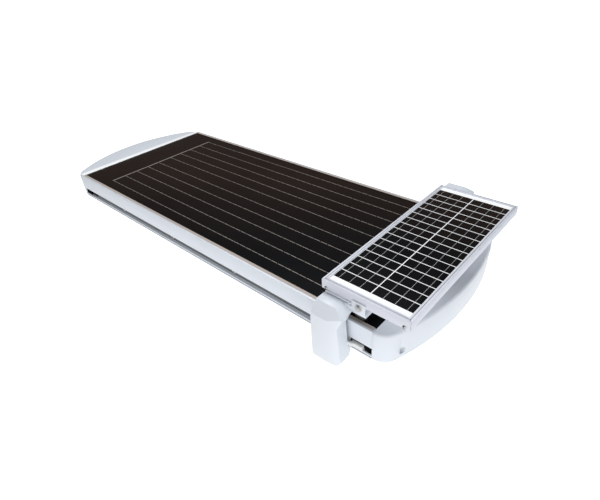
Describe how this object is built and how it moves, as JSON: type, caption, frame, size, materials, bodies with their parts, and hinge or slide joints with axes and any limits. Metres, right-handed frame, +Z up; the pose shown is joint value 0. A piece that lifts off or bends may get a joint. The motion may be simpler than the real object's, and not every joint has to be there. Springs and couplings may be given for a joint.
{
  "type": "solar street lamp",
  "caption": "Flat solar street lamp on a tilting pole socket, with a powered brush carriage that runs along its side rails and sweeps the panel.",
  "frame": {"origin": "centre of the pole socket's mouth", "axes": "+X along the lamp head, away from the pole; +Y towards the right-hand rail; +Z up, along the pole"},
  "size_m": [0.983, 0.425, 0.2785],
  "materials": {
    "anodised_aluminium": "satin",
    "white_shell": "satin white paint",
    "solar_glass": "dark cells under clear glass",
    "sheet_metal": "matt",
    "cast_aluminium": "cast",
    "steel": "satin",
    "circuit_board": "white solder mask",
    "clear_optic": "clear",
    "battery_wrap": "film",
    "black_plastic": "matt",
    "sensor_white": "satin",
    "button_red": "satin",
    "bristle": "bristle",
    "tyre_rubber": "matt",
    "nylon": "satin"
  },
  "bodies": {
    "pole_fitter": {"slipfitter_socket": "cast_aluminium", "tilt_pivot_bolt": "steel", "clamp_screw_lower": "steel", "clamp_screw_upper": "steel"},
    "lamp_head": {"bracket_saddle": "cast_aluminium", "bracket_stud_plate": "steel", "solar_laminate": "solar_glass", "side_rail_left": "anodised_aluminium", "side_rail_right": "anodised_aluminium", "end_cap_far": "white_shell", "end_cap_near": "white_shell", "cap_screw_far_left": "steel", "cap_screw_far_right": "steel", "cap_screw_near_left": "steel", "cap_screw_near_right": "steel", "base_tray": "sheet_metal", "led_heatsink": "cast_aluminium", "led_board": "circuit_board", "lens_plate": "clear_optic", "battery_pack_left": "battery_wrap", "battery_pack_right": "battery_wrap", "charge_controller": "black_plastic", "motion_sensor": "sensor_white", "button_bezel": "black_plastic"},
    "power_button": {"power_button": "button_red"},
    "carriage": {"small_laminate": "solar_glass", "panel_rail_front": "anodised_aluminium", "panel_rail_back": "anodised_aluminium", "panel_rail_left": "anodised_aluminium", "panel_rail_right": "anodised_aluminium", "arm_cover_left": "white_shell", "arm_cover_right": "white_shell", "arm_chassis_left": "white_shell", "arm_chassis_right": "white_shell", "bridge_beam": "white_shell", "bridge_lid": "white_shell", "brush_holder": "white_shell", "carriage_board": "circuit_board", "carriage_battery": "battery_wrap", "brush_back": "black_plastic", "panel_junction_box": "black_plastic", "brush_bristles": "bristle", "brush_bolt_left": "steel", "brush_bolt_right": "steel", "guide_axle_left_back": "steel", "guide_axle_left_front": "steel", "guide_axle_right_back": "steel", "guide_axle_right_front": "steel", "gear_motor_left": "steel", "gear_motor_right": "steel", "guide_shoe_left": "nylon", "guide_shoe_right": "nylon"},
    "guide_wheel_left_back": {"guide_wheel_left_back": "nylon"},
    "guide_wheel_left_front": {"guide_wheel_left_front": "nylon"},
    "guide_wheel_right_back": {"guide_wheel_right_back": "nylon"},
    "guide_wheel_right_front": {"guide_wheel_right_front": "nylon"},
    "drive_wheel_left": {"drive_hub_left": "nylon", "drive_tyre_left": "tyre_rubber"},
    "drive_wheel_right": {"drive_hub_right": "nylon", "drive_tyre_right": "tyre_rubber"}
  },
  "joints": [
    {"name": "lamp_tilt", "type": "hinge", "parent": "pole_fitter", "child": "lamp_head", "pos_m": [0, 0, 0.128], "axis": [0, 1, 0], "range_deg": [-20, 20]},
    {"name": "power_button_press", "type": "slide", "parent": "lamp_head", "child": "power_button", "axis": [0, 0, 1], "range_m": [0, 0.0025], "stiffness_N_per_m": 400},
    {"name": "carriage_travel", "type": "slide", "parent": "lamp_head", "child": "carriage", "axis": [-1, 0, 0], "range_m": [0, 0.74]},
    {"name": "drive_wheel_left_spin", "type": "hinge", "parent": "carriage", "child": "drive_wheel_left", "pos_m": [0.7275, -0.1943, 0.212], "axis": [0, 0, 1], "range_deg": [-2800, 0]},
    {"name": "guide_wheel_left_back_spin", "type": "hinge", "parent": "carriage", "child": "guide_wheel_left_back", "pos_m": [0.7115, -0.1769, 0.1898], "axis": [0, 1, 0], "range_deg": [-6400, 0]},
    {"name": "guide_wheel_left_front_spin", "type": "hinge", "parent": "carriage", "child": "guide_wheel_left_front", "pos_m": [0.7435, -0.1769, 0.1898], "axis": [0, 1, 0], "range_deg": [-6400, 0]},
    {"name": "drive_wheel_right_spin", "type": "hinge", "parent": "carriage", "child": "drive_wheel_right", "pos_m": [0.7275, 0.1943, 0.212], "axis": [0, 0, 1], "range_deg": [0, 2800]},
    {"name": "guide_wheel_right_back_spin", "type": "hinge", "parent": "carriage", "child": "guide_wheel_right_back", "pos_m": [0.7115, 0.1769, 0.1898], "axis": [0, 1, 0], "range_deg": [-6400, 0]},
    {"name": "guide_wheel_right_front_spin", "type": "hinge", "parent": "carriage", "child": "guide_wheel_right_front", "pos_m": [0.7435, 0.1769, 0.1898], "axis": [0, 1, 0], "range_deg": [-6400, 0]}
  ],
  "couplings": [
    {"joint": "drive_wheel_left_spin", "follows": "carriage_travel", "rad_per_m": -65.359},
    {"joint": "guide_wheel_left_back_spin", "follows": "carriage_travel", "rad_per_m": -149.25},
    {"joint": "guide_wheel_left_front_spin", "follows": "carriage_travel", "rad_per_m": -149.25},
    {"joint": "drive_wheel_right_spin", "follows": "carriage_travel", "rad_per_m": 65.359},
    {"joint": "guide_wheel_right_back_spin", "follows": "carriage_travel", "rad_per_m": -149.25},
    {"joint": "guide_wheel_right_front_spin", "follows": "carriage_travel", "rad_per_m": -149.25}
  ]
}
